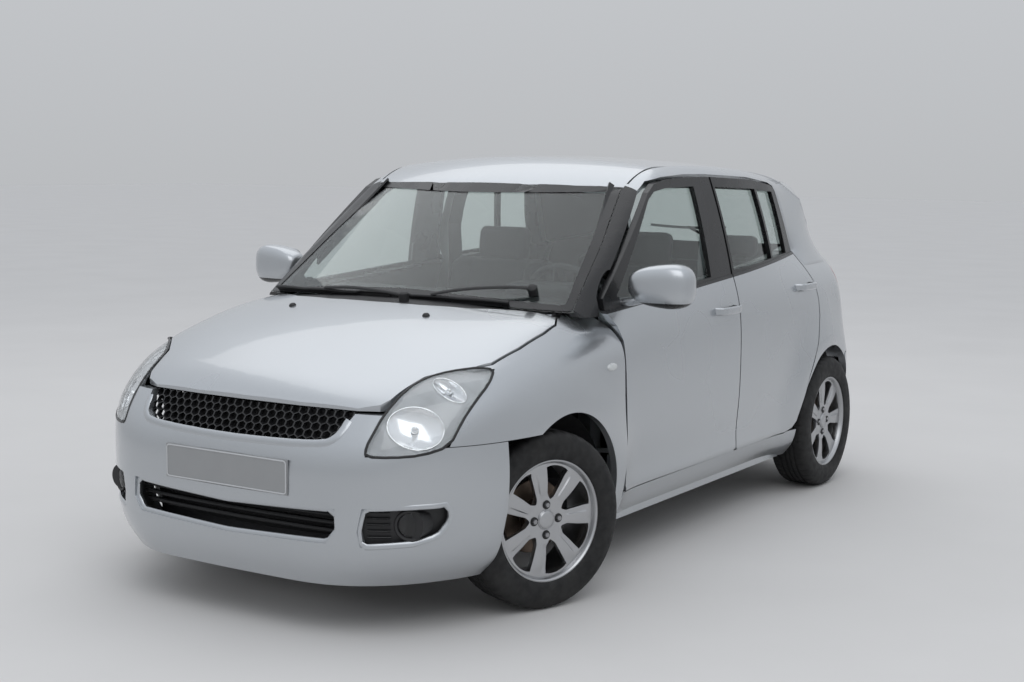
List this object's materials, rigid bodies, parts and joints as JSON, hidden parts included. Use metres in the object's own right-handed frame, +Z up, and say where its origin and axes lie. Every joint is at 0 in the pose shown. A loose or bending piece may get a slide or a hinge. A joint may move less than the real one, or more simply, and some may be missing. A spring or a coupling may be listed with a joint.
{
  "type": "hatchback car",
  "caption": "Small hatchback car with opening side doors, bonnet and tailgate, steered front wheels and a furnished cabin.",
  "frame": {"origin": "on the floor, under the middle of the overall length and width", "axes": "+X to the car's left, +Y to its tail, +Z up; the nose points to -Y"},
  "size_m": [1.99, 3.695, 1.5101],
  "materials": {
    "silver_paint": "metallic gloss",
    "dark_metal": "satin",
    "black_plastic": "matte",
    "grey_plate": "satin",
    "window_glass": "clear",
    "lamp_lens": "clear",
    "tail_lens": "gloss",
    "alloy": "satin",
    "tyre_rubber": "matte",
    "cast_metal": "matte",
    "steel": "satin",
    "seat_fabric": "woven",
    "cabin_plastic": "grained"
  },
  "bodies": {
    "car_body": {"floor_pan": "dark_metal", "side_frame_left": "silver_paint", "side_frame_right": "silver_paint", "roof": "silver_paint", "front_fenders": "silver_paint", "front_bumper": "silver_paint", "rear_bumper": "silver_paint", "windscreen": "window_glass", "cowl": "black_plastic", "wipers": "black_plastic", "headlamps": "lamp_lens", "fog_lamps": "black_plastic", "upper_grille": "black_plastic", "lower_grille": "black_plastic", "front_plate": "grey_plate", "tail_lamps": "tail_lens", "front_seats": "seat_fabric", "rear_seat": "seat_fabric", "dashboard": "cabin_plastic", "front_suspension": "steel", "rear_axle": "cast_metal", "exhaust": "steel", "engine": "cast_metal", "radiator": "dark_metal", "fuel_tank": "black_plastic"},
    "bonnet_body": {"bonnet": "silver_paint"},
    "tailgate_body": {"tailgate": "silver_paint", "rear_window": "window_glass", "rear_plate": "grey_plate"},
    "steering_wheel_body": {"steering_wheel": "cabin_plastic"},
    "knuckle_left_body": {"knuckle_left": "cast_metal"},
    "knuckle_right_body": {"knuckle_right": "cast_metal"},
    "front_door_left": {"door_front_left": "silver_paint", "door_glass_front_left": "window_glass", "mirror_left": "silver_paint"},
    "rear_door_left": {"door_rear_left": "silver_paint", "door_glass_rear_left": "window_glass"},
    "wheel_front_left": {"rim_front_left": "alloy", "tyre_front_left": "tyre_rubber"},
    "wheel_rear_left": {"rim_rear_left": "alloy", "tyre_rear_left": "tyre_rubber"},
    "front_door_right": {"door_front_right": "silver_paint", "door_glass_front_right": "window_glass", "mirror_right": "silver_paint"},
    "rear_door_right": {"door_rear_right": "silver_paint", "door_glass_rear_right": "window_glass"},
    "wheel_front_right": {"rim_front_right": "alloy", "tyre_front_right": "tyre_rubber"},
    "wheel_rear_right": {"rim_rear_right": "alloy", "tyre_rear_right": "tyre_rubber"}
  },
  "joints": [
    {"name": "front_door_left_hinge", "type": "hinge", "parent": "car_body", "child": "front_door_left", "pos_m": [0.795, -0.6065, 0.6], "axis": [0, 0, -1], "range_deg": [0, 65]},
    {"name": "rear_door_left_hinge", "type": "hinge", "parent": "car_body", "child": "rear_door_left", "pos_m": [0.795, 0.3735, 0.6], "axis": [0, 0, -1], "range_deg": [0, 65]},
    {"name": "front_door_right_hinge", "type": "hinge", "parent": "car_body", "child": "front_door_right", "pos_m": [-0.795, -0.6065, 0.6], "axis": [0, 0, 1], "range_deg": [0, 65]},
    {"name": "rear_door_right_hinge", "type": "hinge", "parent": "car_body", "child": "rear_door_right", "pos_m": [-0.795, 0.3735, 0.6], "axis": [0, 0, 1], "range_deg": [0, 65]},
    {"name": "bonnet_hinge", "type": "hinge", "parent": "car_body", "child": "bonnet_body", "pos_m": [0, -0.87, 0.952], "axis": [-1, 0, 0], "range_deg": [0, 48]},
    {"name": "tailgate_hinge", "type": "hinge", "parent": "car_body", "child": "tailgate_body", "pos_m": [0, 1.546, 1.414], "axis": [1, 0, 0], "range_deg": [0, 80]},
    {"name": "steer_left", "type": "hinge", "parent": "car_body", "child": "knuckle_left_body", "pos_m": [0.612, -1.0825, 0.301], "axis": [0, 0, 1], "range_deg": [-13, 53]},
    {"name": "steer_right", "type": "hinge", "parent": "car_body", "child": "knuckle_right_body", "pos_m": [-0.612, -1.0825, 0.301], "axis": [0, 0, 1], "range_deg": [-13, 53]},
    {"name": "steering_wheel_turn", "type": "hinge", "parent": "car_body", "child": "steering_wheel_body", "pos_m": [0.365, -0.295, 0.935], "axis": [0, -0.88, -0.475], "range_deg": [-195, 795]},
    {"name": "wheel_front_left_spin", "type": "hinge", "parent": "knuckle_left_body", "child": "wheel_front_left", "pos_m": [0.72736, -1.12517, 0.301], "axis": [0.9379, -0.3469, 0], "continuous": true},
    {"name": "wheel_rear_left_spin", "type": "hinge", "parent": "car_body", "child": "wheel_rear_left", "pos_m": [0.74, 1.2975, 0.301], "axis": [1, 0, 0], "continuous": true},
    {"name": "wheel_front_right_spin", "type": "hinge", "parent": "knuckle_right_body", "child": "wheel_front_right", "pos_m": [-0.72736, -1.03983, 0.301], "axis": [0.9379, -0.3469, 0], "continuous": true},
    {"name": "wheel_rear_right_spin", "type": "hinge", "parent": "car_body", "child": "wheel_rear_right", "pos_m": [-0.74, 1.2975, 0.301], "axis": [1, 0, 0], "continuous": true}
  ],
  "couplings": [
    {"joint": "steer_right", "follows": "steer_left", "ratio": 1}
  ]
}
